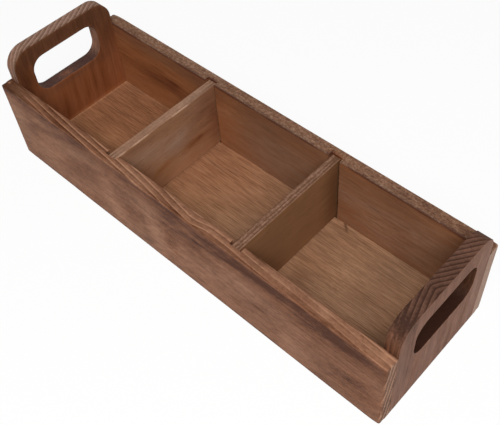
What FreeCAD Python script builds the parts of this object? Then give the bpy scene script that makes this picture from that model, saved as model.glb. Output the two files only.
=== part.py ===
import FreeCAD, Part
import os

import Sketcher

# Open wooden tray with three compartments for tea bags. Two long side boards hold
# two tall end panels with grip holes and a floor board between them. Two thin
# dividers stand loose on the floor, in grooves cut across the side boards.
# The origin is in the middle of the underside: +X runs along the tray to the right
# end, +Y to the back board and +Z up. All sizes are in millimetres.

driving_sizes = [
    ("tray_length", 330.0, "over the outer faces of the two end panels"),
    ("tray_width", 102.6, "over the outer faces of the two side boards"),
    ("wall_height", 66.3, "side boards, from the underside to their top edges"),
    ("handle_height", 88.4, "end panels, from the underside to their top edges"),
    ("side_thickness", 9.1, "side boards"),
    ("end_thickness", 9.5, "end panels"),
    ("floor_thickness", 9.5, "floor board"),
    ("floor_rise", 1.2, "floor board's underside above the tray's underside"),
    ("divider_thickness", 6.3, "dividers"),
    ("divider_spacing", 108.7, "between the middles of the two grooves of a side board"),
    ("divider_drop", 1.0, "dividers' top edges below the side boards' top edges"),
    ("groove_depth", 3.7, "grooves, into the side boards' inner faces"),
    ("groove_side_play", 1.35, "between a centred divider and each wall of its groove"),
    ("groove_end_play", 0.4, "between a divider's end and the bottom of its groove"),
    ("left_divider_offset", 0.4, "left divider off the middle of its groove, to the right"),
    ("right_divider_offset", -0.3, "right divider off the middle of its groove, to the right"),
    ("handle_corner", 14.0, "radius of the end panels' top corners"),
    ("grip_width", 56.2, "grip holes, along the panel"),
    ("left_grip_height", 28.8, "grip hole of the left panel, up the panel"),
    ("right_grip_height", 29.8, "grip hole of the right panel, up the panel"),
    ("grip_corner", 10.0, "radius of the grip holes' corners"),
    ("left_grip_margin", 11.7, "wood left above the grip hole of the left panel"),
    ("right_grip_margin", 14.9, "wood left above the grip hole of the right panel"),
    ("left_grip_shift", -0.7, "left panel's grip hole off the middle, to the back"),
    ("right_grip_shift", 1.3, "right panel's grip hole off the middle, to the back"),
    ("edge_ease", 0.4, "radius of the sanded edges that a hand meets"),
]

# Sizes that follow from the driving ones, written as formulas for the sheet's cells.
inner_width = "(sizes.tray_width - 2 * sizes.side_thickness)"
inner_length = "(sizes.tray_length - 2 * sizes.end_thickness)"
floor_top = "(sizes.floor_rise + sizes.floor_thickness)"
groove_width = "(sizes.divider_thickness + 2 * sizes.groove_side_play)"
divider_length = inner_width + " + 2 * (sizes.groove_depth - sizes.groove_end_play)"
divider_height = "sizes.wall_height - sizes.divider_drop - " + floor_top

near_zero = 0.001
first_guess = 5.0
half_turn = 180

doc = FreeCAD.newDocument("tea_bag_organizer")
sheet = doc.addObject("Spreadsheet::Sheet", "sizes")
for row, (alias, value, note) in enumerate(driving_sizes, start=1):
    sheet.set("A%d" % row, alias)
    sheet.set("B%d" % row, str(value))
    sheet.setAlias("B%d" % row, alias)
    sheet.set("C%d" % row, note)
doc.recompute()


def new_body(label, base_x, base_y, base_z, turn=0):
    """A sub-part, turned about Z and moved to a place given by three formulas."""
    body = doc.addObject("PartDesign::Body", label)
    body.Label = label
    body.Placement = FreeCAD.Placement(
        FreeCAD.Vector(0, 0, 0), FreeCAD.Rotation(FreeCAD.Vector(0, 0, 1), turn))
    body.setExpression("Placement.Base.x", base_x)
    body.setExpression("Placement.Base.y", base_y)
    body.setExpression("Placement.Base.z", base_z)
    return body


def origin_plane(body, role):
    """One of the body's own origin planes, such as XY_Plane."""
    for feature in body.Origin.OriginFeatures:
        if feature.Role == role:
            return feature
    raise ValueError("no plane " + role)


def rectangle(body, role, name, size_x, size_y, shift_x="0", shift_y="0"):
    """A rectangle on an origin plane, centred on the plane's origin and then shifted."""
    sketch = body.newObject("Sketcher::SketchObject", name)
    sketch.AttachmentSupport = (origin_plane(body, role), [""])
    sketch.MapMode = "FlatFace"
    sketch.setExpression("AttachmentOffset.Base.x", shift_x)
    sketch.setExpression("AttachmentOffset.Base.y", shift_y)
    corners = [FreeCAD.Vector(sign_x * first_guess, sign_y * first_guess, 0)
               for sign_x, sign_y in ((-1, -1), (1, -1), (1, 1), (-1, 1))]
    for side in range(4):
        line = Part.LineSegment(corners[side], corners[(side + 1) % 4])
        sketch.addGeometry(line, False)
    for side in range(4):
        sketch.addConstraint(Sketcher.Constraint("Coincident", side, 2, (side + 1) % 4, 1))
    for side in (0, 2):
        sketch.addConstraint(Sketcher.Constraint("Horizontal", side))
    for side in (1, 3):
        sketch.addConstraint(Sketcher.Constraint("Vertical", side))
    sketch.addConstraint(Sketcher.Constraint("Symmetric", 0, 1, 2, 1, -1, 1))
    guess = 2 * first_guess
    width = sketch.addConstraint(Sketcher.Constraint("DistanceX", 0, 1, 0, 2, guess))
    sketch.renameConstraint(width, "size_x")
    height = sketch.addConstraint(Sketcher.Constraint("DistanceY", 1, 1, 1, 2, guess))
    sketch.renameConstraint(height, "size_y")
    sketch.setExpression("Constraints.size_x", size_x)
    sketch.setExpression("Constraints.size_y", size_y)
    return sketch


def pad(body, name, sketch, length):
    """Wood that fills the sketch's outline, over a length along the plane's normal."""
    feature = body.newObject("PartDesign::Pad", name)
    feature.Profile = sketch
    feature.setExpression("Length", length)
    doc.recompute()
    return feature


def cut_through(body, name, sketch):
    """An opening of the sketch's outline, cut through along the plane's normal."""
    volume_before = body.Shape.Volume
    feature = body.newObject("PartDesign::Pocket", name)
    feature.Profile = sketch
    feature.Type = "ThroughAll"
    feature.Reversed = True
    doc.recompute()
    if feature.Shape.Volume > volume_before - near_zero:
        raise ValueError(name + " cuts nothing")
    return feature


def round_edges(body, name, base, radius, chosen):
    """A round on each edge of base whose bounding box passes the test."""
    edges = ["Edge%d" % number for number, edge in enumerate(base.Shape.Edges, start=1)
             if chosen(edge.BoundBox)]
    feature = body.newObject("PartDesign::Fillet", name)
    feature.Base = (base, edges)
    feature.setExpression("Radius", radius)
    doc.recompute()
    return feature


def side_board(label, side, turn):
    """A full-length board with two grooves cut across its inner face.

    The board is drawn as the front one, with its inner face towards +Y. The back one
    is the same board turned round.
    """
    body = new_body(label, "0", "%d * (sizes.tray_width - sizes.side_thickness) / 2" % side,
                    "0", turn)
    outline = rectangle(body, "XY_Plane", label + "_outline",
                        "sizes.tray_length", "sizes.side_thickness")
    pad(body, label + "_plank", outline, "sizes.wall_height")
    groove_outline = rectangle(body, "XY_Plane", label + "_groove_outline",
                               groove_width, "sizes.groove_depth",
                               "-sizes.divider_spacing / 2",
                               "(sizes.side_thickness - sizes.groove_depth) / 2")
    groove = cut_through(body, label + "_groove", groove_outline)
    grooves = body.newObject("PartDesign::Mirrored", label + "_grooves")
    grooves.Originals = [groove]
    grooves.MirrorPlane = (origin_plane(body, "YZ_Plane"), [""])
    body.Tip = grooves
    doc.recompute()
    outer_face = -sheet.side_thickness / 2
    round_edges(body, label + "_eased", grooves, "sizes.edge_ease",
                lambda box: box.YMax < outer_face + near_zero)


def end_panel(label, base_x, side):
    """A panel between the side boards, rounded at the top, with a grip hole.

    The side, left or right, picks the grip hole's sizes.
    """
    grip_height = "sizes.%s_grip_height" % side
    grip_margin = "sizes.%s_grip_margin" % side
    grip_shift = "sizes.%s_grip_shift" % side
    body = new_body(label, base_x, "0", "0")
    outline = rectangle(body, "YZ_Plane", label + "_outline", inner_width,
                        "sizes.handle_height", "0", "sizes.handle_height / 2")
    plank = pad(body, label + "_plank", outline, "sizes.end_thickness")
    shoulders = round_edges(
        body, label + "_shoulders", plank, "sizes.handle_corner",
        lambda box: box.XLength > near_zero and box.ZMin > near_zero)
    hole_outline = rectangle(
        body, "YZ_Plane", label + "_grip_outline", "sizes.grip_width", grip_height,
        grip_shift, "sizes.handle_height - %s - %s / 2" % (grip_margin, grip_height))
    hole = cut_through(body, label + "_grip", hole_outline)
    panel_side = sheet.tray_width / 2 - sheet.side_thickness
    panel_top = sheet.handle_height
    hole_corners = round_edges(
        body, label + "_grip_corners", hole, "sizes.grip_corner",
        lambda box: box.XLength > near_zero and box.YLength < near_zero
        and abs(box.YMax) < panel_side - near_zero and box.ZMax < panel_top - near_zero)
    round_edges(
        body, label + "_eased", hole_corners, "sizes.edge_ease",
        lambda box: box.XLength < near_zero and box.ZMax > near_zero)


def floor_board(label):
    """A board that fills the space between the side boards and the end panels."""
    body = new_body(label, "0", "0", "sizes.floor_rise")
    outline = rectangle(body, "XY_Plane", label + "_outline", inner_length, inner_width)
    pad(body, label + "_plank", outline, "sizes.floor_thickness")


def divider(label, side, offset):
    """A loose thin board across the tray, standing on the floor in its two grooves."""
    body = new_body(label, "%d * sizes.divider_spacing / 2 + %s" % (side, offset),
                    "0", floor_top)
    outline = rectangle(body, "XY_Plane", label + "_outline",
                        "sizes.divider_thickness", divider_length)
    pad(body, label + "_sheet", outline, divider_height)


side_board("front_board", -1, 0)
side_board("back_board", 1, half_turn)
end_panel("left_end_panel", "-sizes.tray_length / 2", "left")
end_panel("right_end_panel", "sizes.tray_length / 2 - sizes.end_thickness", "right")
floor_board("floor_board")
divider("left_divider", -1, "sizes.left_divider_offset")
divider("right_divider", 1, "sizes.right_divider_offset")
doc.recompute()

for item in doc.Objects:
    if "Invalid" in item.State or "Error" in item.State:
        raise ValueError(item.Label + " is " + ", ".join(item.State))
sub_parts = [item for item in doc.Objects if item.TypeId == "PartDesign::Body"]
for item in sub_parts:
    if item.Shape.isNull() or not item.Shape.isValid():
        raise ValueError(item.Label + " has no valid shape")

os.makedirs("parts", exist_ok=True)
for item in sub_parts:
    item.Shape.exportStep("parts/%s.step" % item.Label)
    print(item.Label, round(item.Shape.Volume / 1000, 2), "cubic cm")
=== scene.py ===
import math

import bpy
import numpy as np
from mathutils import Euler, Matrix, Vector


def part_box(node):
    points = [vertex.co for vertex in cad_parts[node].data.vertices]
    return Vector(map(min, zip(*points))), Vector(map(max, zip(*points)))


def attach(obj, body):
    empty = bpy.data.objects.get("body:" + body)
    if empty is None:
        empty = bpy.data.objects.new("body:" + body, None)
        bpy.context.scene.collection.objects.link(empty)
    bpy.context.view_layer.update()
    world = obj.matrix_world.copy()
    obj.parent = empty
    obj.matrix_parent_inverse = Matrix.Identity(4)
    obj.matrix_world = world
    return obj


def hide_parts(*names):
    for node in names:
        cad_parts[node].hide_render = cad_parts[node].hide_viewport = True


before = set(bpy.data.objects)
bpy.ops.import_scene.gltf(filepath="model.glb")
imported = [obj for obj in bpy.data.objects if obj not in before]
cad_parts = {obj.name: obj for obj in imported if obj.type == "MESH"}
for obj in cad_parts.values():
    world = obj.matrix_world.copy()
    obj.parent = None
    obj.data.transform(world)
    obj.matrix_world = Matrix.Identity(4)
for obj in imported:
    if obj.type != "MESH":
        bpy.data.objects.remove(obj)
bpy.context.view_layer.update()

# A stained wooden tray for tea bags. Lengths in this file are millimetres and are
# turned into metres where a mesh, lamp or camera is made. +X is the tray's right
# end, +Y its back and +Z is up, as in the CAD model that it is built around.

metre = 0.001
weldDistance = 0.0005     # points nearer than this are one
weldShift = 0.237         # keeps round numbers off the limits of the cells
sharpAngle = 35           # degrees between two faces, past which their edge looks sharp


# Numbers worked out over whole arrays

noise = {"octaves": 3, "seedShift": 13.7, "axisFactors": (73856093, 19349663, 83492791),
         "seedFactor": 2654435761, "mixFactor": 1274126177, "levels": 65535}


# Smooth random field from -1 to 1: a random height at each corner of a lattice with
# cells of the given size, blended by the smoothstep of the place within the cell.
def softNoise(points, size, seed):
    place = points / np.asarray(size, float) + noise["seedShift"] * seed
    cell = np.floor(place)
    part = place - cell
    part = part * part * (3 - 2 * part)
    cell = cell.astype(np.int64)
    total = np.zeros(points.shape[:-1])
    for corner in range(8):
        side = np.array([corner & 1, corner >> 1 & 1, corner >> 2 & 1])
        share = np.prod(np.where(side, part, 1 - part), axis=-1)
        number = (cell + side) * np.array(noise["axisFactors"])
        number = number[..., 0] ^ number[..., 1] ^ number[..., 2] ^ (seed * noise["seedFactor"])
        number = (number ^ (number >> 13)) * noise["mixFactor"]
        height = ((number ^ (number >> 16)) & noise["levels"]) / noise["levels"]
        total += share * (2 * height - 1)
    return total


# Octaves of the field above, each half as large and half as strong as the last. Their
# sum is divided by the sum of their strengths.
def roughNoise(points, size, seed):
    size = np.asarray(size, float)
    strengths = [0.5 ** octave for octave in range(noise["octaves"])]
    return sum(softNoise(points, size * strength, seed + octave) * strength
               for octave, strength in enumerate(strengths)) / sum(strengths)


edgeShares = np.array([0.0, 0.3, 0.65])    # places over an eased edge, in its radius


# Places along one side of a plank: three close together over each eased edge, and
# even steps between the stops. A stop inside the plank is given twice, as a cut
# needs one row of points on each side of its wall.
def stations(stops, step, easing):
    edge = easing * edgeShares
    runs = []
    for start, end in zip(stops[:-1], stops[1:]):
        first = start + easing if start == stops[0] else start
        last = end - easing if end == stops[-1] else end
        runs.append(np.linspace(first, last, max(2, round((last - first) / step) + 1)))
    return np.concatenate([stops[0] + edge, *runs, stops[-1] - edge[::-1]])


# Closed surface of a sharp box, as a grid of points. One parameter goes round the
# section across the plank's length, the other along the length. On the two ends the
# section is clamped to ever smaller insets until it is a line, which closes the grid.
def plankGrid(low, high, along, alongPlaces, steps, easing):
    across = [axis for axis in range(3) if axis != along]
    wide, tall = (stations((low[axis], high[axis]), steps[axis], easing) for axis in across)
    loop = np.concatenate([
        np.stack([wide, np.full_like(wide, low[across[1]])], 1)[:-1],
        np.stack([np.full_like(tall, high[across[0]]), tall], 1)[:-1],
        np.stack([wide[::-1], np.full_like(wide, high[across[1]])], 1)[:-1],
        np.stack([np.full_like(tall, low[across[0]]), tall[::-1]], 1)[:-1]])
    half = min(high[axis] - low[axis] for axis in across) / 2
    insets = stations((0.0, 2 * half), min(steps[axis] for axis in across), easing)
    insets = np.append(insets[insets < half - weldDistance], half)[1:]
    inset = np.concatenate([insets[::-1], np.zeros(len(alongPlaces)), insets])[:, None]
    place = np.concatenate([np.full(len(insets), low[along]), alongPlaces,
                            np.full(len(insets), high[along])])
    grid = np.empty((len(place), len(loop), 3))
    grid[..., along] = place[:, None]
    for column, axis in enumerate(across):
        grid[..., axis] = np.clip(loop[:, column], low[axis] + inset, high[axis] - inset)
    return grid


# Eased box: each point is clamped to the box shrunk by the easing radius, and pushed
# out again from there by that radius. The direction of the push is the normal.
def easeBox(grid, low, high, easing):
    radius = np.broadcast_to(easing, grid.shape[:-1])[..., None]
    core = np.clip(grid, low + radius, high - radius)
    normal = grid - core
    normal /= np.linalg.norm(normal, axis=-1, keepdims=True)
    return core + normal * radius, normal


# Normals of a grid that closes on itself both ways: the cross product of the steps
# along its rows and columns.
def gridNormals(grid):
    alongRows = np.roll(grid, -1, 0) - np.roll(grid, 1, 0)
    alongColumns = np.roll(grid, -1, 1) - np.roll(grid, 1, 1)
    normal = np.cross(alongRows, alongColumns)
    return normal / np.linalg.norm(normal, axis=-1, keepdims=True)


# Signed distance from a rectangle with round corners: the distance from the rectangle
# shrunk by the corners' radius, less that radius.
def outlineDistance(across, up, halfAcross, halfUp, corner):
    acrossOut = np.abs(across) - halfAcross + corner
    upOut = np.abs(up) - halfUp + corner
    outside = np.hypot(np.maximum(acrossOut, 0), np.maximum(upOut, 0))
    return outside + np.minimum(np.maximum(acrossOut, upOut), 0) - corner


# How far along each ray from the hole's middle the distance reaches the wanted level,
# found by halving.
def reachAlong(rays, middle, level, distance, farthest, halvings=50):
    near = np.zeros(len(rays))
    far = np.full(len(rays), farthest)
    for _ in range(halvings):
        half = (near + far) / 2
        value = distance(middle[0] + rays[:, 0] * half, middle[1] + rays[:, 1] * half)
        near = np.where(value < level, half, near)
        far = np.where(value < level, far, half)
    return (near + far) / 2


ringShape = {
    "wave": 14,            # size of the slow waves across the grain
    "waveAlong": 110,      # how much larger they are along it
    "driftBlur": 3,        # how far apart the places are that a drift is averaged over
    "chevronEdge": 4,      # sharpness of the meeting of two slants
}


# Growth rings are tubes round the tree's middle line. The phase counts rings: the
# distance from that line over the ring width, after slow waves that are long along
# the grain have bent the wood. A board whose rings wander has a drift instead: pairs
# of a place along the board and how far across one ring's line lies there. Rings that
# meet in a chevron have an apex and two slants, each the rings per millimetre along X,
# Y and Z. The larger count holds, and the two are blended softly where they are even.
def ringPhase(points, wood):
    grain = np.array(wood["grain"], float)
    grain /= np.linalg.norm(grain)
    size = ringShape["wave"] + np.abs(grain) * ringShape["waveAlong"]
    waves = np.stack([roughNoise(points, size, wood["seed"] + 10 * axis)
                      for axis in range(3)], -1)
    bent = points + wood["wave"] * waves
    if "drift" in wood:
        along, across = np.array(wood["drift"], float).T
        line = sum(np.interp(bent[..., 0] + shift * ringShape["driftBlur"], along, across)
                   for shift in (-1, 0, 1)) / 3
        line = line + wood["lean"] * (bent[..., 2] - wood["driftHeight"])
        return (bent[..., 1] - line) / wood["ringWidth"]
    if "slants" in wood:
        edge = ringShape["chevronEdge"]
        fromApex = bent - np.array(wood["apex"], float)
        first, second = (edge * fromApex @ np.array(slant, float) for slant in wood["slants"])
        return np.logaddexp(first, second) / edge
    away = bent - np.array(wood["pith"], float)
    away = away - (away @ grain)[..., None] * grain
    return np.linalg.norm(away, axis=-1) / wood["ringWidth"]


# Distance from a mark's middle in units of its reach, after a lean about the axis
# that the wood's broad face points along.
def spread(points, mark, wood):
    local = points - np.array(mark["at"], float)
    lean = math.radians(mark.get("lean", 0))
    first, second = [axis for axis in range(3) if axis != wood["faceAxis"]]
    turned = local.copy()
    turned[..., first] = math.cos(lean) * local[..., first] + math.sin(lean) * local[..., second]
    turned[..., second] = math.cos(lean) * local[..., second] - math.sin(lean) * local[..., first]
    return np.linalg.norm(turned / np.array(mark["reach"], float), axis=-1)


markFray = {"size": 2.2, "along": 16, "depth": 0.45}  # along is the extra size with the grain


# Sum of the wood's marks for one quality, such as tone: each fades as the bell curve
# of its spread, frayed by noise that is long along the grain.
def markField(points, wood, quality):
    grain = np.abs(np.array(wood["grain"], float))
    size = markFray["size"] + markFray["along"] * grain / grain.max()
    fray = 1 + markFray["depth"] * roughNoise(points, size, wood["seed"] + 5)
    total = np.zeros(points.shape[:-1])
    for mark in wood["marks"]:
        if mark.get(quality):
            total += mark[quality] * np.exp(-(spread(points, mark, wood) * fray) ** 2)
    return total


def look(tone, warmth=0.0, ringShow=0.0, **others):  # what one side has of each quality
    return dict(others, tone=tone, warmth=warmth, ringShow=ringShow)


# Marks on one face, given by the axis that it faces along, its place on that axis and
# how deep its marks go. A row has a mark's middle and reach in the face's plane, what
# it adds to the tone and the warmth, and its lean and other qualities by name.
def faceMarks(axis, level, depth, rows):
    marks = []
    for first, second, firstReach, secondReach, tone, warmth, *others in rows:
        mark = {"at": [first, second], "reach": [firstReach, secondReach],
                "tone": tone, "warmth": warmth}
        mark["at"].insert(axis, level)
        mark["reach"].insert(axis, depth)
        mark.update(*others)
        marks.append(mark)
    return marks


# How deep a surface is sunk: slow hollows of soft noise, and ridges that follow the
# cosine of the growth rings' phase.
def sunkBy(points, wood, shape):
    hollow = 0.5 + 0.5 * softNoise(points, shape["hollowPatch"], wood["seed"] + 1)
    ridge = 0.5 + 0.5 * np.cos(2 * np.pi * ringPhase(points, wood))
    return shape["hollow"] * hollow + shape["ridge"] * ridge


# Wear of an edge: the bell curve of the distance from it, uneven by soft noise.
def wornBy(points, distance, shape):
    uneven = 0.6 + 0.4 * softNoise(points, shape["wearPatch"], shape["wearSeed"])
    return np.exp(-(distance / shape["wear"]) ** 2) * uneven


def addObject(name, data):
    thing = bpy.data.objects.new(name, data)
    bpy.context.collection.objects.link(thing)
    return thing


# Mesh from a grid that may close on itself either way. Points that fall together are
# made one, quads that lose a corner become triangles, and all faces point outwards.
def meshFromGrid(name, grid, closeRows, fields):
    rows, columns = grid.shape[:2]
    number = np.arange(rows * columns).reshape(rows, columns)
    down = np.roll(number, -1, 0) if closeRows else number[1:]
    number = number if closeRows else number[:-1]
    quads = np.stack([number, np.roll(number, -1, 1), np.roll(down, -1, 1), down], -1)
    quads = quads.reshape(-1, 4)
    flat = grid.reshape(-1, 3)
    keys = np.round(flat / weldDistance + weldShift).astype(np.int64)
    _, kept, newNumber = np.unique(keys, axis=0, return_index=True, return_inverse=True)
    quads = newNumber.reshape(-1)[quads]
    flat = flat[kept]
    same = quads == np.roll(quads, -1, 1)
    whole = quads[same.sum(1) == 0]
    whole = whole[(whole[:, 0] != whole[:, 2]) & (whole[:, 1] != whole[:, 3])]
    cut = quads[same.sum(1) == 1]
    cut = cut[~same[same.sum(1) == 1]].reshape(-1, 3)
    cut = cut[(cut[:, 0] != cut[:, 1]) & (cut[:, 1] != cut[:, 2]) & (cut[:, 2] != cut[:, 0])]
    triangles = np.concatenate([whole[:, [0, 1, 2]], whole[:, [0, 2, 3]], cut])
    corners = flat[triangles]
    volume = np.einsum("ij,ij->i", corners[:, 0], np.cross(corners[:, 1], corners[:, 2])).sum()
    if volume < 0:
        whole, cut = whole[:, ::-1], cut[:, ::-1]
    mesh = bpy.data.meshes.new(name)
    mesh.vertices.add(len(flat))
    mesh.vertices.foreach_set("co", (flat * metre).ravel())
    loops = np.concatenate([whole.ravel(), cut.ravel()]).astype(np.int32)
    mesh.loops.add(len(loops))
    mesh.loops.foreach_set("vertex_index", loops)
    starts = np.concatenate([4 * np.arange(len(whole)),
                             4 * len(whole) + 3 * np.arange(len(cut))]).astype(np.int32)
    mesh.polygons.add(len(starts))
    mesh.polygons.foreach_set("loop_start", starts)
    mesh.update(calc_edges=True)
    mesh.validate()
    mesh.shade_smooth()
    mesh.set_sharp_from_angle(angle=math.radians(sharpAngle))
    for field, values in fields.items():
        layer = mesh.attributes.new(field, "FLOAT", "POINT")
        layer.data.foreach_set("value", values.reshape(-1)[kept].astype(np.float32))
    print("  %s: %d points, %d faces" % (name, len(flat), len(starts)))
    return addObject(name, mesh)


# One quality of the six sides of a piece, blended over its edges: each side's value
# is weighted by the square of the normal's part that points its way.
def sideField(normal, sides, quality):
    total = np.zeros(normal.shape[:-1])
    directions = (("left", 0, -1), ("right", 0, 1), ("front", 1, -1), ("back", 1, 1),
                  ("bottom", 2, -1), ("top", 2, 1))
    usual = 1.0 if quality == "figure" else 0.0
    for side, axis, sign in directions:
        value = sides.get(side, {}).get(quality, usual)
        total += value * np.maximum(sign * normal[..., axis], 0) ** 2
    return total


# The fields that the finish reads at each point. A cut surface, such as a groove's,
# has qualities of its own on each side.
def woodFields(points, normal, wood, edge, cut):
    cutSides = wood.get("cutSides", {})
    fields = {"ring": ringPhase(points, wood), "edge": edge}
    depth = sideField(normal, cutSides, "depth") + markField(points, wood, "depth")
    fields["cut"] = cut * np.clip(depth, 0, 1)
    for quality in ("tone", "warmth", "ringShow", "speckle", "figure"):
        fields[quality] = (sideField(normal, wood["sides"], quality) * (1 - cut)
                           + sideField(normal, cutSides, quality) * cut
                           + markField(points, wood, quality))
    return fields


# Finishes

def colour(red, green, blue):  # a finish's screen values, 0 to 255, as linear light
    parts = np.array([red, green, blue]) / 255
    linear = np.where(parts <= 0.04045, parts / 12.92, ((parts + 0.055) / 1.055) ** 2.4)
    return (*linear.tolist(), 1.0)


def put(tree, kind, inputs=None, **settings):  # a node with its settings and inputs
    node = tree.nodes.new("ShaderNode" + kind)
    for key, value in settings.items():
        setattr(node, key, value)
    for key, value in (inputs or {}).items():
        if isinstance(value, bpy.types.NodeSocket):
            tree.links.new(value, node.inputs[key])
        else:
            node.inputs[key].default_value = value
    return node


def emptyTree(owner):  # the cleared nodes of a material or a world
    owner.use_nodes = True
    owner.node_tree.nodes.clear()
    return owner.node_tree


def calc(tree, operation, *values):
    return put(tree, "Math", dict(enumerate(values)), operation=operation).outputs[0]


def field(tree, name):
    return put(tree, "Attribute", attribute_name=name).outputs["Fac"]


def ramp(tree, share, stops):
    node = put(tree, "ValToRGB", {"Fac": share})
    points = node.color_ramp.elements
    while len(points) < len(stops):
        points.new(0.5)
    for point, (position, tint) in zip(points, stops):
        point.position = position
        point.color = tint
    return node.outputs["Color"]


def mixed(tree, share, first, second):
    return put(tree, "Mix", {0: share, 6: first, 7: second}, data_type="RGBA").outputs[2]


# A ring's lightness from its pale line over its broad middle to the dark wood that
# ends it, next to the following pale line.
broadRings = ((0.0, 1.0), (0.12, 0.85), (0.35, 0.42), (0.65, 0.22), (0.9, 0.0), (1.0, 0.75))
fineRings = ((0.0, 1.0), (0.08, 0.72), (0.20, 0.42), (0.55, 0.26), (0.82, 0.0), (0.92, 0.5),
             (1.0, 1.0))

stain = {                      # what all the finishes have alike
    "streakStretch": 14,       # how much longer a patch of noise is along the grain
    "mottleStretch": 3.0,
    "speck": 1.4,
    "speckStretch": 1.4,
    "warmCloud": 1.25,         # size of a warm cloud, in clouds of stain
    "warmStretch": 1.8,
    "ringTone": 1.5,           # from a ring's dark foot to its pale line
    "ringFoot": -0.55,
    "pit": (0.54, 0.68),       # levels of the noise where a pore starts and is full
    "fibreRoughness": 0.25,
    "ringHeight": 0.25,        # in heights of a fibre
    "pitHeight": -0.8,
    "bumpDistance": 0.0003,    # metres
}


# Stained wood. The tone adds growth rings, clouds of stain, streaks, fibres and marks,
# and picks a colour from deep to pale, once in a cool and once in a warm palette. The
# warmth chooses between the two. Pores darken the colour, and cuts have their own.
def stainedWood(name, finish):
    material = bpy.data.materials.new(name)
    tree = emptyTree(material)
    place = put(tree, "TexCoord").outputs["Object"]
    grain = np.array(finish["grain"], float)
    cloudTurn = finish["cloudTurn"]

    # noise from 0 to 1 in patches of a size, longer along the grain by the stretch
    def patches(size, stretch, detail, roughness=0.55, turn=(0, 0, 0)):
        reach = tuple((size * metre * (1 + grain * (stretch - 1))).tolist())
        vector = put(tree, "Mapping", {"Vector": place, "Scale": reach, "Rotation": turn},
                     vector_type="TEXTURE").outputs[0]
        return put(tree, "TexNoise", {"Vector": vector, "Scale": 1.0, "Detail": detail,
                                      "Roughness": roughness}).outputs["Fac"]

    def plus(total, value, factor):           # the total and the value times the factor
        return calc(tree, "MULTIPLY_ADD", value, factor, total)

    def plusNoise(total, source, strength):   # the total and the noise, centred on 0
        return plus(total, calc(tree, "SUBTRACT", source, 0.5), 2 * strength)

    fibres = patches(finish["fibre"], finish["fibreStretch"], detail=4.0, roughness=0.65)
    bands = patches(finish["streak"], stain["streakStretch"], detail=3.0)
    clouds = patches(finish["cloud"], finish["cloudStretch"], detail=4.0, turn=cloudTurn)
    mottle = patches(finish["mottle"], stain["mottleStretch"], detail=5.0, roughness=0.7,
                     turn=cloudTurn)
    specks = patches(stain["speck"], stain["speckStretch"], detail=3.0, roughness=0.7)
    warmClouds = patches(stain["warmCloud"] * finish["cloud"], stain["warmStretch"], detail=2.0)

    frayed = plus(field(tree, "ring"), bands, finish["ringFray"])
    part = calc(tree, "FRACT", frayed)        # 0 on a pale line, 1 at the next one
    shade = ramp(tree, part, [(spot, (level,) * 3 + (1.0,)) for spot, level in finish["rings"]])
    ring = plus(stain["ringFoot"], shade, stain["ringTone"])

    tone = calc(tree, "ADD", field(tree, "tone"), finish["toneShift"])
    tone = plusNoise(tone, clouds, finish["cloudTone"])
    figure = plusNoise(0.0, fibres, finish["fibreTone"])
    figure = plusNoise(figure, bands, finish["streakTone"])
    figure = plusNoise(figure, mottle, finish["mottleTone"])
    tone = plus(tone, figure, field(tree, "figure"))
    tone = plus(tone, calc(tree, "SUBTRACT", specks, 0.5), field(tree, "speckle"))
    tone = plus(tone, ring, field(tree, "ringShow"))
    tone = plus(tone, field(tree, "edge"), finish["edgeTone"])
    share = plus(0.5, tone, 0.5)
    cool, warm = (ramp(tree, share, [(spot, colour(*tint)) for spot, tint
                                     in zip((0.0, 0.5, 1.0), finish[palette])])
                  for palette in ("cool", "warm"))
    warmth = plusNoise(field(tree, "warmth"), warmClouds, finish["warmClouds"])
    warmShare = put(tree, "MapRange", {"Value": warmth, 1: -1.0, 2: 1.0}).outputs[0]
    tint = mixed(tree, warmShare, cool, warm)

    pores = patches(finish["pore"], finish["poreStretch"], detail=2.0, roughness=0.6)
    pits = put(tree, "MapRange", {"Value": pores, 1: stain["pit"][0], 2: stain["pit"][1],
                                  3: 0.0, 4: 1.0}).outputs[0]
    pitShare = calc(tree, "MULTIPLY", pits, finish["poreDepth"])
    pitShare = calc(tree, "MULTIPLY", pitShare, field(tree, "figure"))
    tint = mixed(tree, pitShare, tint, colour(*finish["poreColour"]))
    cutShare = calc(tree, "MULTIPLY", field(tree, "cut"), finish["cutDepth"])
    tint = mixed(tree, cutShare, tint, colour(*finish["cutColour"]))

    rough = plus(finish["roughness"], fibres, stain["fibreRoughness"])
    height = plus(fibres, ring, stain["ringHeight"])
    height = plus(height, pits, stain["pitHeight"])
    bump = put(tree, "Bump", {"Height": height, "Strength": finish["bump"],
                              "Distance": stain["bumpDistance"]})
    shader = put(tree, "BsdfPrincipled", {"Base Color": tint, "Roughness": rough,
                                          "Specular IOR Level": finish["gloss"],
                                          "Normal": bump.outputs[0]})
    put(tree, "OutputMaterial", {"Surface": shader.outputs[0]})
    return material


def finishPiece(piece, node, body, finish):  # the piece stands for a CAD node
    piece.data.materials.append(stainedWood("stained " + node.replace("_", " "), finish))
    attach(piece, body)
    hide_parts(node)


def nodeBox(node):
    return (np.array(corner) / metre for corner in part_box(node))


# Side boards

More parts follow.
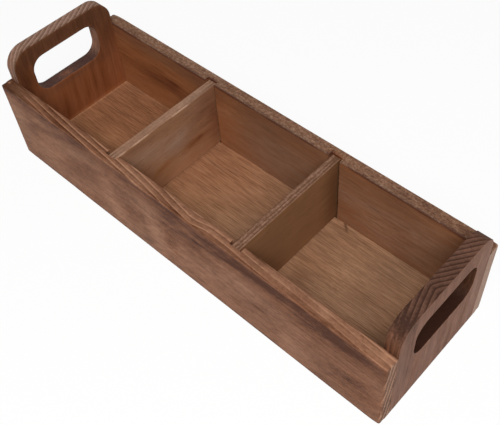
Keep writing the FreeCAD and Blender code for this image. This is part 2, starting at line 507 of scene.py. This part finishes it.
sideBoards = {
    "steps": (1, 0.6, 1.2),    # distance between points along X, Y and Z
    "easing": 0.4,             # radius of the sanded outer edges
    "innerEasing": 0.25,       # radius of the edges towards the inside
    "easingChange": 0.3,       # share by which a radius changes along its edge
    "easingPatch": 18,         # a patch is the size of the noise behind a change
    "cornerReach": 5,          # how far from the ends the outer edges are rounder
    "grooveDepth": 3.7,
    "grooveWidth": 9,
    "grooveMiddle": 54.35,     # from the tray's middle
    "hollow": 0.12,            # deepest slow unevenness of the planed faces
    "hollowPatch": (45, 30, 30),
    "ridge": 0.035,            # relief of the growth rings
    "chip": 0.45,              # depth of a usual break-out at the grooves' mouths
    "chipPatch": (7, 5, 5),
    "chipFrom": 0.1,           # noise under this leaves the mouth whole
    "chipGrowth": 1.8,         # how fast it deepens with the noise above that
    "wear": 0.55,              # reach of the worn lines along the top edges
    "wearChange": 0.8,         # share by which that reach changes
    "wearPatch": (14, 5, 5),
    "wearSeed": 8,
}

frontWood = {
    "seed": 3, "faceAxis": 1, "grain": (1, 0, 0), "ringWidth": 3.7, "wave": 0.3,
    "lean": 0.18, "driftHeight": 66.3,
    "drift": [(-165, -37), (-138, -40.5), (-124, -41.9), (-115, -42.9), (-95, -44.7), (-77, -46),
              (-55, -47.8), (-44, -48.9), (-33, -49.9), (-25, -50.7), (-15, -52.2), (-8, -53.1),
              (-1, -54.4), (10, -56), (16, -56.8), (21, -57.5), (24, -57.4), (30, -55.4),
              (37, -54.9), (45, -55.2), (55, -55.6), (67, -56.5), (78, -57.1), (98, -57.7),
              (111, -58.5), (128, -59.5), (147, -61.2), (165, -62.4)],
    "outerWear": 0.6, "innerEdgeLine": 0, "cornerEasing": (0.6, 1.2),
    "sides": {
        "front": look(-0.03, 0.3, 0.08, speckle=0.9, figure=0.8),
        "top": look(-0.05, 0.05, 0.85, speckle=1, figure=0.45),
        "bottom": look(-0.1, ringShow=0.5),
        "left": look(0, -0.1, 0.8, speckle=0.8),
        "right": look(-0.05, -0.45, 1.9, speckle=2.4),
        "back": look(0.1, 0.8, 0.12),
    },
    "cutSides": {"back": look(-0.6, 0.4, depth=0.8)},
    "marks": faceMarks(1, -51.3, 1.5, [  # the outer face
        (0, 64, 250, 7, -0.52, 1),
        (40, 58, 90, 10, -0.29, 0.4),
        (122, 57, 62, 12, -0.5, 0.7),
        (122, 25, 60, 30, -0.18, 0.1),
        (48, 55, 36, 2, -0.54, 0.2, {"lean": 10}),
        (20, 43, 18, 7, -0.25, 0.5),
        (0, 32, 6, 17, -0.4, 0.9, {"speckle": 1.2}),
        (75, 29, 6, 2, -0.5, 0.6, {"lean": 8}),
        (55, 17, 5, 4, -0.32, 0.4),
        (65, 43, 22, 8, 0.15, -0.4),
        (30, 15, 18, 10, 0.1, 0.1),
        (105, 12, 18, 10, 0.25, -0.4),
        (133, 56, 10, 4, -0.29, 0.5),
        (126, 51, 2.4, 0.7, 1, -0.5),
        (148, 22, 18, 18, -0.28, 0.9, {"speckle": 1}),
        (-115, 51, 38, 2.8, -0.4, 0.1, {"lean": 20}),
        (-125, 62, 40, 4, -0.22, 0.3),
        (-83, 37, 30, 6, -0.32, 0.6, {"lean": 27}),
        (-90, 47, 18, 4, 0.35, -0.5, {"lean": 20}),
        (-118, 57, 20, 3, 0.25, -0.4, {"lean": 8}),
        (-84, 8, 12, 5, -0.07, 1.2),
        (-60, 26, 9, 26, 0.4, 0, {"lean": 12}),
        (-37, 30, 13, 8, -0.25, 0.5, {"speckle": 0.8}),
        (-16, 24, 8, 26, 0.45, -0.2, {"lean": 8}),
        (-158, 44, 10, 16, 0.3, -0.6),
        (-126, 22, 22, 13, 0.4, 0),
        (76, 60, 9, 2.2, -0.3, 0.4, {"lean": 14}),
        (135, 58, 12, 2.4, -0.25, 0.8),
        (105, 57, 12, 6, 0.2, 0),
        (112, 46, 9, 3, -0.2, 0.5, {"lean": 28}),
        (-110, 33, 60, 44, -0.05, 0.3),
        # painted shade: a dark line along the bottom of the outer face, where the board stands on
        # the floor
        (0, 0.3, 400, 1.4, -0.36, 0),
    ]) + faceMarks(2, 66, 1.2, [  # the top edge
        (-158, -50.8, 34, 1.6, -0.6, -0.4),
    ]) + faceMarks(2, 66.3, 0.9, [
        (0, -51.2, 400, 1, 0, -0.9),
    ]) + faceMarks(2, 66.3, 3, [
        (-162, -46.5, 28, 9, -0.9, -0.4, {"ringShow": -1, "speckle": -0.6}),
        (-112, -46.5, 42, 9, -0.22, 0.4),
        (-85, -46.5, 50, 9, 0, 0, {"ringShow": 0.45}),
        (115, -46.5, 55, 9, 0.15, -0.15, {"ringShow": -0.5}),
    ]) + faceMarks(2, 66.3, 2, [
        (96, -48.5, 20, 1.8, -0.36, 0),
        (120, -50.3, 22, 1.2, -0.25, 0),
        (-133, -48.3, 7, 1.2, 0.3, 0.8),
        (-162.5, -45.8, 1, 1, 1.5, 0),
    ]) + faceMarks(2, 66.3, 1.5, [
        (76, -42.3, 18, 0.8, -0.65, 0),
        (133, -42.3, 22, 0.7, -0.65, 0),
        (138, -43.1, 10, 0.5, 0.7, 0),
    ]) + faceMarks(2, 66.3, 2, [
        (160, -44.3, 3.5, 1.3, 0.5, 0.4),
        (161, -42.2, 5, 0.7, -1.08, 0),
    ]) + faceMarks(2, 66.3, 1, [
        *((first, second, 1.2, 0.5, -0.5, 0)
          for first, second in ((73, -45.8), (80, -46.3), (127, -48.5), (150, -49.7),
                                (17, -45.8), (36, -44.2), (45, -44.2), (37, -47.9),
                                (143, -43.9), (131, -43.3))),
    ]),
    "dents": [{"at": (165, -49.4, 14), "reach": (2.5, 1.6, 3), "depth": 0.8}],
}

backWood = {
    "seed": 21, "faceAxis": 1,
    "grain": (1, 0.02, 0.01), "pith": (0, 420, 80), "ringWidth": 3.1, "wave": 1.4,
    # innerEdgeLine is the share of the line along the inner top edge; below 0 it makes that edge
    # darker
    "outerWear": 0.2, "innerEdgeLine": -1.5, "cornerEasing": (2, 0.9),
    "sides": {
        "front": look(0.05, 0.7, 0.04, figure=0.5),
        "top": look(-0.1, -0.75, 0.06, speckle=3.4),
        "bottom": look(-0.1, ringShow=0.2),
        "left": look(0.1, -0.8, 0.5),
        "right": look(1.3, -0.9, 0.3, speckle=1.5),
        "back": look(0, -0.6, 0.25),
    },
    "cutSides": {"front": look(-0.1, 0.3, depth=0.2)},
    "marks": faceMarks(1, 42.2, 1.5, [  # the inner face
        (0, 63, 300, 12, -0.3, 0),
        (-106, 37, 34, 9, -1, 0.6),
        (-94, 43, 8, 2.5, -0.35, 0.3),
        (-105, 24, 46, 26, 0.18, 1.6),
        (-100, 62, 50, 8, -0.1, -0.8),
        (-35, 45, 14, 22, 0.1, 0.45),
        (2, 35, 50, 60, 0.06, -1.05),
        (115, 35, 60, 50, 0.08, -0.95),
        (102, 32, 34, 12, 0.12, 0.2, {"speckle": 0.8, "figure": 0.5}),
    ]) + faceMarks(2, 66.3, 3, [  # the top edge
        (130, 46.5, 45, 9, -0.35, 0),
    ]) + faceMarks(2, 66.3, 2, [
        (-54, 46.2, 4, 1.2, -1, 0),
        (50, 45.5, 0.7, 3.2, -1.2, 0),
        (54, 46.3, 3.4, 1.4, -0.65, 0.8),
    ]),
}


# A side board: the plank's grid is eased, then sunk by slow hollows and the rings'
# ridges, and inside each groove the points beyond the groove's floor are held to it.
def sideBoard(name, node, wood, inward):
    low, high = nodeBox(node)
    s = sideBoards
    walls = [sign * s["grooveMiddle"] + half * s["grooveWidth"] / 2
             for sign in (-1, 1) for half in (-1, 1)]
    places = stations([low[0], *walls, high[0]], s["steps"][0], s["easing"])
    grid = plankGrid(low, high, 0, places, s["steps"], s["easing"])
    middle = (low + high) / 2
    towardsInside = np.clip((grid[..., 1] - middle[1]) * inward / 2 + 0.5, 0, 1)
    easing = s["easing"] + (s["innerEasing"] - s["easing"]) * towardsInside
    toEnd = (high[0] - np.abs(grid[..., 0])) / s["cornerReach"]
    corner = np.where(grid[..., 0] < 0, *wood["cornerEasing"])
    easing = easing + corner * np.exp(-toEnd ** 2) * (1 - towardsInside)
    easing = easing * (1 + s["easingChange"] * softNoise(grid, s["easingPatch"], wood["seed"]))
    points, normal = easeBox(grid, low, high, easing)
    sunk = sunkBy(points, wood, s)
    for dent in wood.get("dents", ()):
        sunk = sunk + dent["depth"] * np.exp(-spread(points, dent, wood) ** 4)
    points = points - normal * sunk[..., None]

    # rows between the two copies of a wall's place lie inside the groove
    rowNumber = np.cumsum(np.concatenate([[0], np.diff(places) == 0]))
    ends = (grid.shape[0] - len(places)) // 2
    inGroove = np.zeros(grid.shape[0], bool)
    inGroove[ends:ends + len(places)] = rowNumber % 2 == 1
    floor = high[1] - s["grooveDepth"] if inward > 0 else low[1] + s["grooveDepth"]
    held = inGroove[:, None] & ((points[..., 1] - floor) * inward > 0)
    points[..., 1] = np.where(held, floor, points[..., 1])

    # the rows at the walls break out a little at the groove's mouth
    turn = np.diff(inGroove.astype(int))
    mouth = np.zeros(grid.shape[0])
    mouth[:-1][turn > 0] = -1
    mouth[1:][turn < 0] = 1
    rough = roughNoise(points, s["chipPatch"], wood["seed"] + 3)
    chip = np.maximum(rough - s["chipFrom"], 0) * s["chipGrowth"]
    nearFace = np.clip((points[..., 1] - floor) * inward / s["grooveDepth"], 0, 1) ** 3
    points[..., 0] += s["chip"] * mouth[:, None] * chip * nearFace

    toTop = np.abs(grid[..., 2] - high[2])
    toFaces = (np.abs(grid[..., 1] - low[1]), np.abs(grid[..., 1] - high[1]))[::inward]
    wear = 1 + s["wearChange"] * softNoise(points, s["wearPatch"], s["wearSeed"])
    edge = sum(share * np.exp(-(np.maximum(toTop, toFace) / s["wear"] / wear) ** 2)
               for share, toFace in zip((wood["outerWear"], wood["innerEdgeLine"]), toFaces))
    fields = woodFields(points, normal, wood, edge, held.astype(float))
    return meshFromGrid(name, points, False, fields)


print("side boards")
frontFinish = {
    "grain": (1, 0, 0), "cloudTurn": (0, math.radians(-32), 0),
    "fibre": 1.3, "fibreStretch": 16, "fibreTone": 1, "streak": 2.6, "streakTone": 0.35,
    "cloud": 18, "cloudStretch": 1.6, "cloudTone": 0.6, "mottle": 4, "mottleTone": 0.65,
    "warmClouds": 0.6, "toneShift": 0.06,
    "rings": fineRings, "ringFray": 0.14, "edgeTone": 1,
    "pore": 1.5, "poreStretch": 4, "poreDepth": 0.5, "poreColour": (74, 46, 34),
    "cool": ((68, 38, 16), (128, 93, 73), (168, 130, 105)),
    "warm": ((68, 31, 7), (126, 82, 57), (166, 118, 88)),
    "cutDepth": 0.8, "cutColour": (66, 40, 28),
    "roughness": 0.55, "gloss": 0.15, "bump": 0.5,
}
backFinish = dict(
    frontFinish, cloudTurn=(0, 0, 0), cloudTone=0.35, warmClouds=0.25, mottleTone=0.5,
    cloudStretch=2.2, pore=1.3, poreStretch=14, poreDepth=0.35, poreColour=(70, 42, 28),
    cool=((76, 48, 36), (116, 87, 68), (160, 131, 114)),
    warm=((94, 46, 25), (145, 89, 53), (168, 116, 78)))
finishPiece(sideBoard("front_wall", "front_board", frontWood, 1),
            "front_board", "tray", frontFinish)
finishPiece(sideBoard("back_wall", "back_board", backWood, -1),
            "back_board", "tray", backFinish)


# End panels

endPanels = {
    "step": 1.2,
    "easing": 0.4,             # rims of the outline and the grip hole
    "arcPoints": 4,            # points over each eased rim
    "sideRows": 8,             # rows of points over the panel's thickness
    "faceRows": 40,            # rows of points from the grip hole to the outline
    "crowding": 1.15,          # above 1, those rows are closer near the grip hole
    "corner": 14,              # radius of the top corners
    "gripHalfAcross": 28.1,
    "gripCorner": 10,
    "hollow": 0.1,
    "hollowPatch": 26,
    "ridge": 0.04,
    "wear": 1.3,               # reach of the worn rims
    "wearPatch": 7,
    "wearSeed": 9,
}

leftPanelWood = {
    "seed": 31, "faceAxis": 0, "grain": (0, 0.03, 1), "pith": (-595, -247, 40),
    "ringWidth": 3, "wave": 0.9, "gripMiddle": (-0.7, 62.3), "gripHalfUp": 14.4,
    "sides": {
        "top": look(0.05, -1.1, 1.1, speckle=1),
        "right": look(-0.09, 0.8, 0.04, figure=0.3),
        "left": look(0, -0.6, 0.3),
        "front": look(-0.1, -0.8, 0.7),
        "back": look(-0.1, -0.8, 0.7),
    },
    "cutSides": {
        "top": look(-0.7, -1.3, 0.2, speckle=1.5, depth=0.75),
        "front": look(-0.1, -0.2, 0.4),
        "back": look(-0.2, -0.2, 0.4),
        "bottom": look(-0.5, -0.5, 0.3),
    },
    "marks": faceMarks(0, -155.5, 1.5, [  # the inner face
        (0, 84, 70, 14, -0.93, -0.6),
        (-37, 62, 12, 18, -0.65, 0),
        (36, 62, 13, 18, -0.65, -0.2),
        (0, 45, 30, 4, -0.3, -0.3),
        (-46, 66, 16, 20, -0.3, 0),
        *((first, second, 2.2, 15, -0.42, 0.3, {"lean": -3})
          for first, second in ((-13, 26), (-3, 28), (7, 24), (15, 30), (24, 32))),
        (0, 11.4, 60, 1, 0.8, 0),
    ]) + faceMarks(2, 47.9, 1.5, [  # the grip hole's lower wall
        (-159, -4, 4, 7, 0.5, 1.4, {"speckle": 2, "depth": -0.4}),
    ]),
}

rightPanelWood = {
    "seed": 41, "faceAxis": 0, "grain": (0, 0.04, 1), "apex": (160.8, -9.3, 88),
    "slants": ((-0.30, 0.208, -0.012), (-0.35, -0.10, 0.008)), "wave": 0.6,
    "gripMiddle": (1.3, 58.6), "gripHalfUp": 14.9,
    "sides": {
        "top": look(-0.75, -0.3, -0.5, speckle=0.3, figure=0.4),
        "right": look(0, -0.1, 0.1, speckle=0.6),
        "left": look(0, 0.8, 0.15),
        "front": look(-0.75, 0.4, 0.3),
        "back": look(-0.9, -0.6, 0.5),
    },
    "cutSides": {
        "top": look(-1, ringShow=0.2, depth=0.95),
        "front": look(-0.3, 0.9, 0.3, depth=0.8),
        "back": look(-0.8, ringShow=0.3, depth=0.95),
        "bottom": look(-1, ringShow=0.3, depth=0.95),
    },
    "marks": faceMarks(0, 161, 9, [  # the grip hole's wall
        (25, 58, 10, 15, 0, 0, {"depth": -0.1}),
    ]) + faceMarks(0, 165, 1.5, [  # the outer face
        (-30, 58, 1.6, 40, -0.5, 0),
        (-38, 50, 6, 30, -0.15, -0.5),
        (35, 50, 8, 50, 0.32, -0.5),
        (0, 24, 60, 16, 0.12, -0.1),
    ]) + faceMarks(0, 160, 8, [  # the top and its shoulder
        (-20, 88, 30, 4, -0.2, 0),
        (-33, 84, 7, 6, -0.45, 0, {"speckle": 1.4}),
        (-42, 72, 4, 8, 0.2, 0.6),
    ]) + faceMarks(0, 165, 1.5, [
        *((first, second, 3, 20, -0.3, 0.7, {"lean": -4})
          for first, second in ((-22, 24), (4, 26), (27, 22), (14, 14))),
    ]),
}


# An end panel: rays from the grip hole's middle cross the hole's outline and the
# panel's outline. The grid goes round the rays one way, and the other way over the
# hole's wall, the inner face, the outer side and the outer face, back to the start.
# The rims are quarter circles, and each row follows a level line of its outline.
def endPanel(name, node, wood):
    low, high = nodeBox(node)
    s = endPanels
    half = (high[1] - low[1]) / 2
    middle = wood["gripMiddle"]
    around = 2 * (high[1] - low[1] + high[2] - low[2])
    walk = np.linspace(0, around, int(around / s["step"]), endpoint=False)
    width, height = high[1] - low[1], high[2] - low[2]
    corners = np.array([0, width, width + height, 2 * width + height, around])
    path = np.array([[-half, 0], [half, 0], [half, height], [-half, height], [-half, 0]])
    walk = np.unique(np.concatenate([walk, corners[:-1]]))
    outline = np.stack([np.interp(walk, corners, path[:, axis]) for axis in (0, 1)], 1)
    rays = outline - np.array(middle)
    rays /= np.linalg.norm(rays, axis=1, keepdims=True)

    def outer(across, up):     # square below, round above
        centre = (low[2] + high[2]) / 2
        corner = np.where(up > centre, s["corner"], 0.0)
        return outlineDistance(across, up - centre, half, (high[2] - low[2]) / 2, corner)

    def hole(across, up):
        return outlineDistance(across - middle[0], up - middle[1],
                               s["gripHalfAcross"], wood["gripHalfUp"], s["gripCorner"])

    thick = high[0] - low[0]
    arc = np.linspace(0, np.pi / 2, s["arcPoints"] + 1)
    sink = s["easing"] * (1 - np.cos(arc))
    back = s["easing"] * (1 - np.sin(arc))
    side = np.linspace(s["easing"], thick - s["easing"], s["sideRows"])
    outerRim = [reachAlong(rays, middle, -inset, outer, around) for inset in back]
    holeRim = [reachAlong(rays, middle, inset, hole, around) for inset in back]
    faceShares = np.linspace(0, 1, s["faceRows"])[1:-1] ** s["crowding"]
    rows = []                  # reach along the rays, depth through the panel, share of cut

    def addFace(depth, shares):
        for share in shares:
            rows.append((holeRim[0] + share * (outerRim[0] - holeRim[0]), depth, 0.0))

    rows += [(holeRim[-1], low[0] + depth, 1.0) for depth in side]
    rows += [(holeRim[number], high[0] - sink[number], number / s["arcPoints"])
             for number in range(len(arc) - 2, -1, -1)]
    addFace(high[0], faceShares)
    rows += [(outerRim[number], high[0] - sink[number], 0.0) for number in range(len(arc))]
    rows += [(outerRim[-1], low[0] + depth, 0.0) for depth in side[-2:0:-1]]
    rows += [(outerRim[number], low[0] + sink[number], 0.0)
             for number in range(len(arc) - 1, -1, -1)]
    addFace(low[0], faceShares[::-1])
    rows += [(holeRim[number], low[0] + sink[number], number / s["arcPoints"])
             for number in range(len(arc) - 1)]
    reach = np.array([row[0] for row in rows])
    depth = np.array([row[1] for row in rows])[:, None]
    cut = np.array([row[2] for row in rows])[:, None] * np.ones(len(rays))
    points = np.stack([np.broadcast_to(depth, reach.shape), middle[0] + rays[:, 0] * reach,
                       middle[1] + rays[:, 1] * reach], -1)
    normal = gridNormals(points)
    outwards = np.sign((normal[..., 0] * (points[..., 0] - (low[0] + high[0]) / 2)).sum())
    normal = normal * outwards
    sunk = sunkBy(points, wood, s) * np.abs(normal[..., 0])
    border = np.minimum(np.abs(outer(points[..., 1], points[..., 2])),
                        np.abs(hole(points[..., 1], points[..., 2])))
    points[..., 0] -= np.sign(normal[..., 0]) * sunk
    edge = wornBy(points, border, s)
    return meshFromGrid(name, points, True, woodFields(points, normal, wood, edge, cut))


print("end panels")
leftPanelFinish = dict(
    frontFinish, grain=(0, 0, 1), cloudTurn=(0, 0, 0), cloudTone=0.35, warmClouds=0.3,
    cloudStretch=2.2, edgeTone=0.2, streakTone=0.5, mottleTone=0.4, fibreTone=0.8,
    pore=1.6, poreStretch=7, poreDepth=0.25, cutDepth=1, cutColour=(54, 30, 31),
    gloss=0.1, rings=broadRings,
    cool=((84, 59, 42), (124, 94, 78), (158, 126, 110)),
    warm=((84, 45, 24), (136, 77, 43), (160, 100, 60)))
rightPanelFinish = dict(
    leftPanelFinish, cutColour=(38, 17, 7), gloss=0.08, streak=4, ringFray=0.07,
    cool=((56, 37, 29), (120, 89, 75), (152, 120, 104)),
    warm=((58, 33, 22), (118, 76, 54), (150, 104, 76)))
finishPiece(endPanel("left_handle_end", "left_end_panel", leftPanelWood),
            "left_end_panel", "tray", leftPanelFinish)
finishPiece(endPanel("right_handle_end", "right_end_panel", rightPanelWood),
            "right_end_panel", "tray", rightPanelFinish)


# Floor and dividers

floorBoard = {"steps": (1.1, 0.8, 1.5), "easing": 0.3, "hollow": 0.08, "hollowPatch": 35,
              "ridge": 0.04, "wear": 1.2, "wearPatch": 6, "wearSeed": 7}

floorWood = {
    "seed": 51, "faceAxis": 2, "grain": (1, 0.01, 0), "pith": (0, -300, -120),
    "ringWidth": 2.6, "wave": 1,
    "sides": {
        "top": look(0.15, ringShow=0.05),
        "bottom": look(0, 0.1, 0.08),
    },
    "marks": faceMarks(2, 10.7, 5, [  # the upper face
        (-120, 0, 60, 90, -0.4, 1),
        (-30, 10, 28, 60, 0.05, 0.5),
        (110, 0, 60, 90, -0.1, -0.6),
        (93, 8, 16, 26, 0, 0, {"speckle": 1.4}),
        (72, 0, 18, 60, -0.2, 0),
        (25, 0, 24, 60, -0.06, -0.3),
        # painted light: the floor is lighter along the front wall and at the front of the left
        # compartment, where the front wall and the left divider shade it
        (0, -10, 400, 9, 0.38, 0),
        (-115, -8, 14, 9, 0.35, 0),
        # painted shade: the floor is darker towards the back of the left and middle compartments
        (-50, 30, 120, 14, -0.2, 0),
        (128, 24, 12, 18, 0.2, 0),
        # painted shadow on the floor beside the right divider, at the front of the right
        # compartment
        (70, -8, 11, 13, -0.4, 0),
        (108, 3, 15, 7, -0.25, 0),
        (90, 16, 11, 9, 0.22, 0),
        (8, 16, 10, 12, -0.12, 0),
    ]) + faceMarks(2, 10.7, 2, [
        (-155, 0, 1, 60, 0.8, 0),
        (67, 41, 4.5, 0.6, -2.4, 0, {"lean": -42}),
        (84, 37.3, 16, 0.45, -1.2, 0),
        # painted shade: a dark line along the foot of each divider, in the corner with the floor
        (-50, 0, 1, 60, -0.3, 0),
        (57.6, 0, 0.5, 60, -0.5, 0),
    ]),
}

dividers = {"steps": (0.3, 1, 1), "easing": 0.25, "hollow": 0.05, "hollowPatch": 35,
            "ridge": 0.02, "wear": 1.2, "wearPatch": 6, "wearSeed": 7,
            "plyReach": 0.07,   # of the glue lines, as a share of the thickness
            "plyBend": 0.035,   # how far they wander, the same
            "plyPatch": (9, 8, 8), "plySeed": 6,
            "plyEnd": 6,        # how far from the ends they are darker
            "plyGap": 0.1}      # depth of the glue lines

leftDividerWood = {
    "seed": 61, "faceAxis": 0, "grain": (0, 1, 0.08), "pith": (-400, 0, 20),
    "ringWidth": 1.4, "wave": 2.2, "plyLines": (0.3, 0.7), "plyTone": 0.1,
    "plyEnds": 0.8,
    "sides": {
        "top": look(-0.1, -0.6, speckle=1, figure=0.5),
        "right": look(0.03, 0.3, 0.04, figure=0.4),
        "left": look(0, 0.5, 0.1),
    },
    "marks": faceMarks(0, -50.8, 2, [  # the face towards the right
        (-13, 28, 8, 2.5, -0.4, 1.1, {"lean": 12}),
        (20, 30, 10, 2.8, -0.55, 1.1, {"lean": 6}),
        (24, 30, 2.5, 1.8, -0.3, 1.2),
        (-22, 50, 26, 9, 0.25, -0.7, {"lean": -14}),
        (6, 40, 10, 9, 0.2, -0.5, {"lean": -14}),
        (-28, 61, 18, 3, -0.4, -0.2, {"lean": -6}),
        (30, 52, 20, 16, -0.2, -0.3),
        (0, 16, 34, 10, 0.1, 0.35),
    ]) + faceMarks(0, -50.8, 0.35, [
        # a bright line along the top's right arris: partly paler raw wood, partly a painted
        # highlight
        *((across, 65.3, 3.2, 0.6, 2, 0) for across in (-39.8, -27, -21, 7.2, 14.7)),
    ]) + faceMarks(0, -50.8, 2, [
        # painted shade: the face is darker towards its back corner with the back board
        (42, 34, 13, 40, -0.75, 0.4),
    ]),
}

rightDividerWood = {
    "seed": 71, "faceAxis": 0, "grain": (0, 1, 0.02), "pith": (420, 0, 20),
    "ringWidth": 1.6, "wave": 1.6, "plyLines": (0.03, 0.45, 0.79), "plyTone": 0.7,
    "plyEnds": 0.3,
    "sides": {
        "top": look(-0.5, -0.85, speckle=2.8, figure=0.8),
        "right": look(-0.5, 0.45, 0.04, figure=0.5),
        "left": look(-0.2, 0.4, 0.1),
    },
    # painted shade: the face is darker towards its back corner with the back board
    "marks": faceMarks(0, 57.2, 2, [(40, 38, 9, 40, -0.5, 0)]),
}


# A plain board: the plank's grid, eased, with slow hollows and the rings' ridges.
def plainBoard(name, node, wood, shape, along):
    low, high = nodeBox(node)
    places = stations((low[along], high[along]), shape["steps"][along], shape["easing"])
    grid = plankGrid(low, high, along, places, shape["steps"], shape["easing"])
    points, normal = easeBox(grid, low, high, shape["easing"])
    sunk = sunkBy(points, wood, shape)
    toSides = np.sort(np.minimum(grid - low, high - grid), axis=-1)
    edge = wornBy(points, toSides[..., 1], shape)
    fields = woodFields(points, normal, wood, edge, np.zeros(edge.shape))
    if "plyLines" in wood:  # glue lines show as dark sunk lines between the plies' edges
        ply = (grid[..., 0] - low[0]) / (high[0] - low[0])
        ply = ply + shape["plyBend"] * roughNoise(points, shape["plyPatch"], shape["plySeed"])
        line = sum(np.exp(-((ply - share) / shape["plyReach"]) ** 2) for share in wood["plyLines"])
        line = line * (1 - normal[..., 0] ** 2)
        nearEnds = np.exp(-((high[1] - np.abs(points[..., 1])) / shape["plyEnd"]) ** 2)
        strength = wood["plyTone"] + wood["plyEnds"] * nearEnds
        fields["tone"] = fields["tone"] - strength * line
        sunk = sunk + shape["plyGap"] * line
    points = points - normal * sunk[..., None]
    return meshFromGrid(name, points, False, fields)


print("floor and dividers")
floorFinish = dict(
    frontFinish, cloudTurn=(0, 0, 0), cloudTone=0.35, warmClouds=0.5, edgeTone=0.4,
    cloudStretch=2.2, fibre=0.45, fibreStretch=30, fibreTone=2, streakTone=0.1,
    mottleTone=0.2, pore=0.6, poreStretch=30, poreDepth=0.45, poreColour=(84, 56, 36),
    cool=((100, 72, 52), (133, 101, 77), (166, 130, 102)),
    warm=((98, 60, 38), (142, 94, 64), (172, 122, 86)))
finishPiece(plainBoard("tray_floor", "floor_board", floorWood, floorBoard, 0),
            "floor_board", "tray", floorFinish)
leftDividerFinish = dict(
    frontFinish, grain=(0, 1, 0), cloudTurn=(0, 0, 0), cloudTone=0.5, warmClouds=0.5,
    cloudStretch=1.5, edgeTone=0, streakTone=0.25, mottleTone=0.4, fibreTone=0.5,
    poreDepth=0.2,
    cool=((88, 66, 54), (140, 108, 88), (178, 148, 128)),
    warm=((106, 58, 36), (154, 104, 69), (184, 134, 98)))
rightDividerFinish = dict(
    leftDividerFinish, cloudTone=0.12, warmClouds=0.15, mottleTone=0.25,
    cool=((92, 62, 44), (140, 106, 89), (178, 146, 130)),
    warm=((98, 62, 34), (152, 105, 64), (184, 134, 92)))
finishPiece(plainBoard("left_partition", "left_divider", leftDividerWood, dividers, 1),
            "left_divider", "left_divider", leftDividerFinish)
finishPiece(plainBoard("right_partition", "right_divider", rightDividerWood, dividers, 1),
            "right_divider", "right_divider", rightDividerFinish)


# Studio

studio = {                                     # places and sizes in metres
    "floorSize": 6.0,
    "floorColour": (0.86, 0.86, 0.86, 1.0),
    "floorGlow": 0.9,                          # share of plain white that the camera sees
    "skyLight": 0.2,
    "lampPlace": (0.5, -0.5, 1.0),
    "lampTarget": (0.0, 0.0, 0.03),
    "lampSize": 0.6,
    "lampPower": 15.5,                         # watts
    "cameraPlace": (0.2501, -0.2107, 0.4178),
    "cameraTurn": (38.804, 2.951, 42.541),     # degrees about X, Y and Z
    "cameraLens": 55.305,                      # millimetres
    "cameraSensor": 36.0,                      # millimetres
    "cameraShift": (-0.0216, -0.0125),
    "cameraNearest": 0.01,
}


def whiteForCamera(tree):  # 1 for rays that show the background itself
    rays = put(tree, "LightPath").outputs
    seen = calc(tree, "MAXIMUM", rays["Is Camera Ray"], rays["Is Glossy Ray"])
    return calc(tree, "MAXIMUM", seen, rays["Is Transmission Ray"])


def makeFloor(s):
    half = s["floorSize"] / 2
    mesh = bpy.data.meshes.new("studio_floor")
    corners = [(-half, -half, 0), (half, -half, 0), (half, half, 0), (-half, half, 0)]
    mesh.from_pydata(corners, [], [(0, 1, 2, 3)])
    material = bpy.data.materials.new("white studio floor")
    tree = emptyTree(material)
    matt = put(tree, "BsdfDiffuse", {"Color": s["floorColour"]})
    glow = put(tree, "Emission", {"Color": (1, 1, 1, 1), "Strength": 1.0})
    share = calc(tree, "MULTIPLY", whiteForCamera(tree), s["floorGlow"])
    both = put(tree, "MixShader", {0: share, 1: matt.outputs[0], 2: glow.outputs[0]})
    put(tree, "OutputMaterial", {"Surface": both.outputs[0]})
    mesh.materials.append(material)
    addObject("studio_floor", mesh)


def makeSky(s):
    world = bpy.data.worlds.new("studio")
    bpy.context.scene.world = world
    tree = emptyTree(world)
    light = put(tree, "Background", {"Color": (1, 1, 1, 1), "Strength": s["skyLight"]})
    white = put(tree, "Background", {"Color": (1, 1, 1, 1), "Strength": 1.0})
    both = put(tree, "MixShader", {0: whiteForCamera(tree), 1: light.outputs[0],
                                   2: white.outputs[0]})
    put(tree, "OutputWorld", {"Surface": both.outputs[0]})


def makeLamp(s):
    lamp = bpy.data.lights.new("softbox", "AREA")
    lamp.shape = "SQUARE"
    lamp.size = s["lampSize"]
    lamp.energy = s["lampPower"]
    holder = addObject("softbox", lamp)
    holder.location = s["lampPlace"]
    towards = Vector(s["lampTarget"]) - Vector(s["lampPlace"])
    holder.rotation_euler = towards.to_track_quat("-Z", "Y").to_euler()


def makeCamera(s):
    camera = bpy.data.cameras.new("camera")
    camera.lens = s["cameraLens"]
    camera.sensor_width = s["cameraSensor"]
    camera.shift_x, camera.shift_y = s["cameraShift"]
    camera.clip_start = s["cameraNearest"]
    holder = addObject("camera", camera)
    holder.location = s["cameraPlace"]
    holder.rotation_euler = Euler([math.radians(angle) for angle in s["cameraTurn"]], "XYZ")
    bpy.context.scene.camera = holder


print("studio")
makeFloor(studio)
makeSky(studio)
makeLamp(studio)
makeCamera(studio)
bpy.context.scene.view_settings.view_transform = "Standard"
